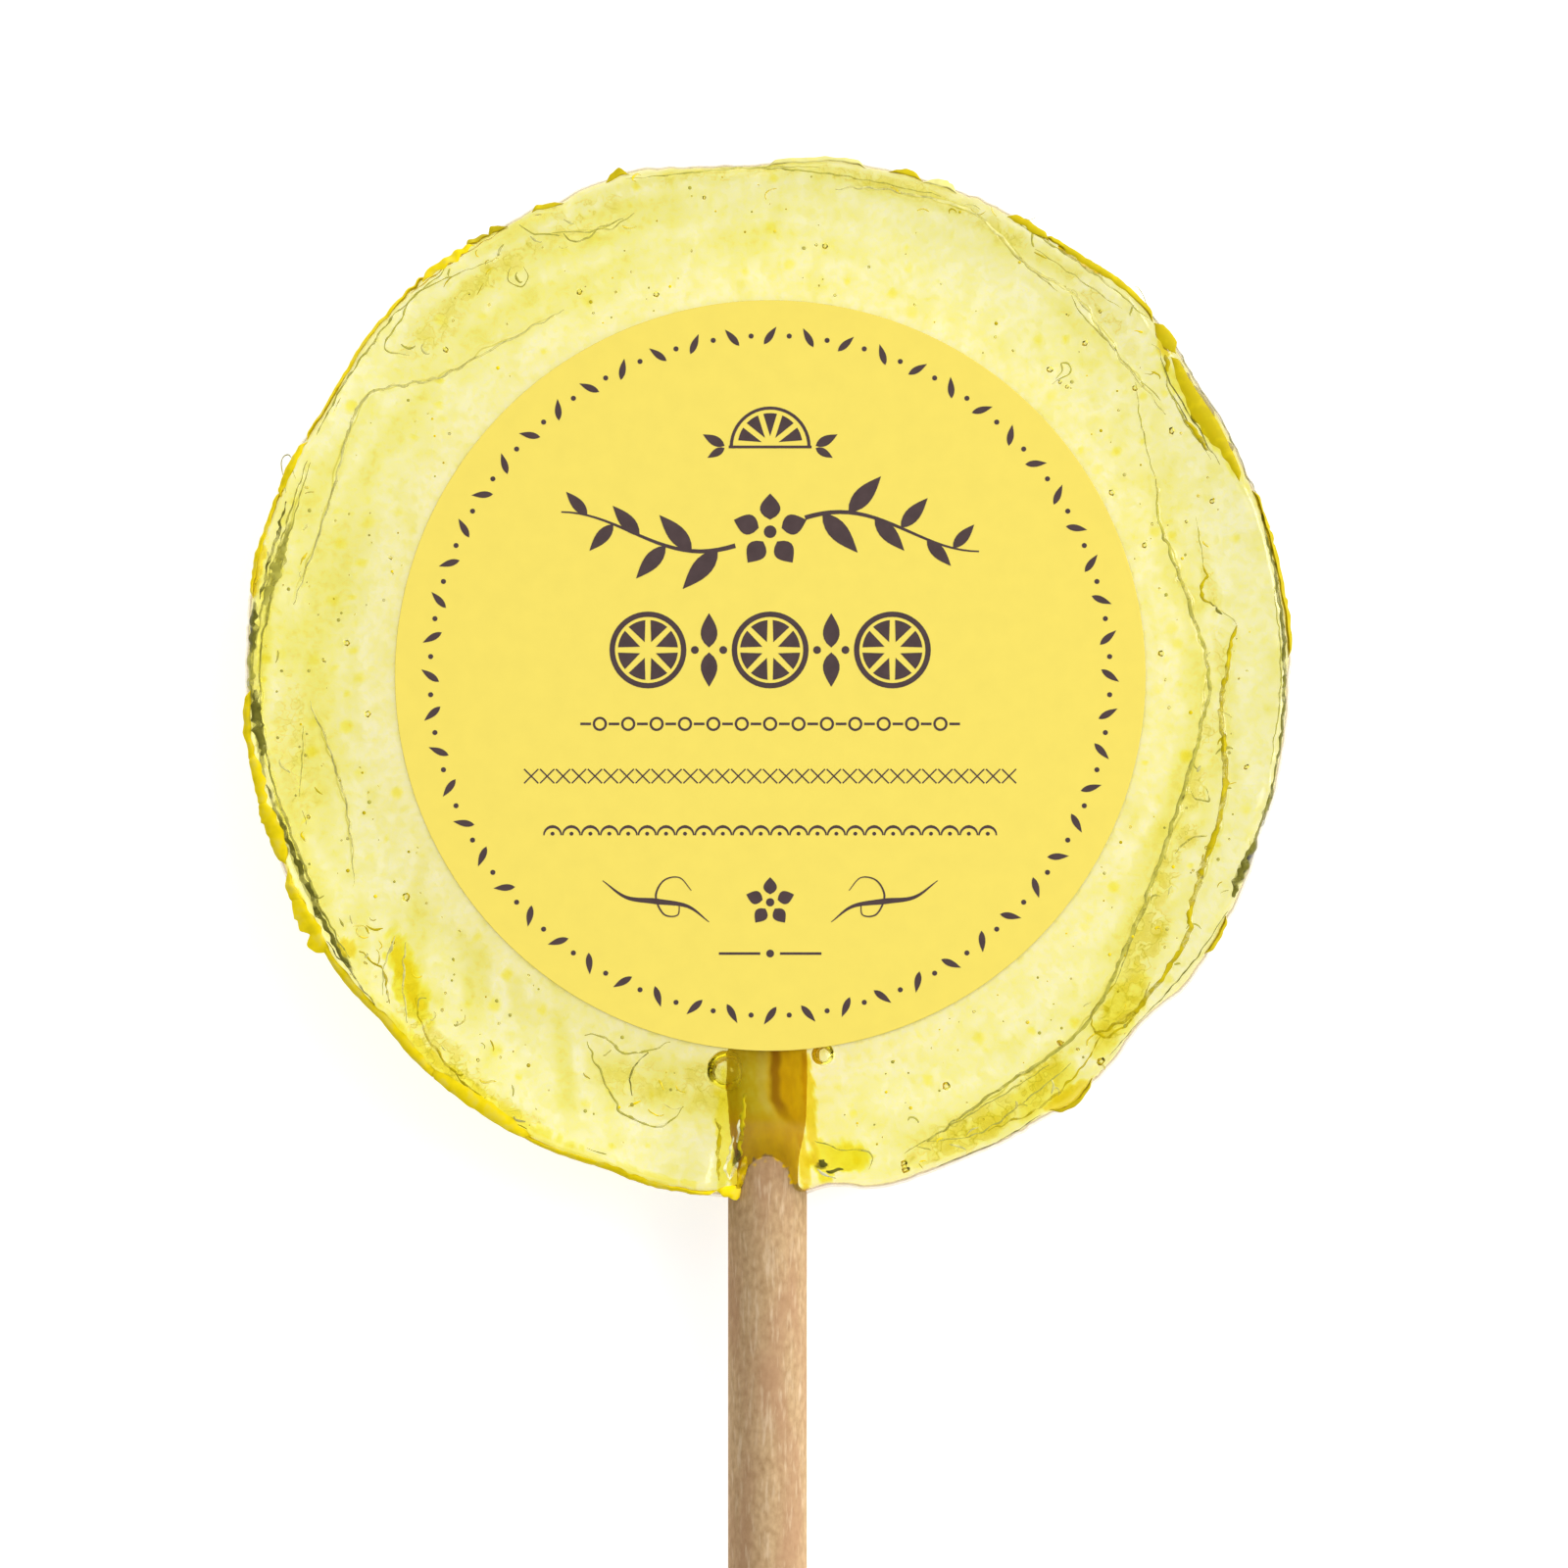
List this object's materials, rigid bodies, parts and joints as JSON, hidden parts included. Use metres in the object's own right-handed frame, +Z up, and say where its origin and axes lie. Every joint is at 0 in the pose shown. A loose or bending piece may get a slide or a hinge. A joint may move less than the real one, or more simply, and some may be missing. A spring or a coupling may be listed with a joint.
{
  "type": "lollipop",
  "caption": "Flat round hard-candy lollipop with a chipped rim and a round paper label, lying on its back, on a straight rolled paper stick.",
  "frame": {"origin": "centre of the candy disc's flat back, on the surface that the lollipop lies on", "axes": "+Z up out of the labelled face, -Y along the stick towards its free end, +X to the right of the label as read"},
  "size_m": [0.0536, 0.1285, 0.007],
  "materials": {
    "candy": "clear glossy hard candy, pale lemon yellow",
    "stick_paper": "matt tan rolled paper",
    "label_paper": "smooth yellow paper"
  },
  "bodies": {
    "root": {"candy_disc": "candy", "paper_stick": "stick_paper", "label": "label_paper"}
  },
  "joints": []
}
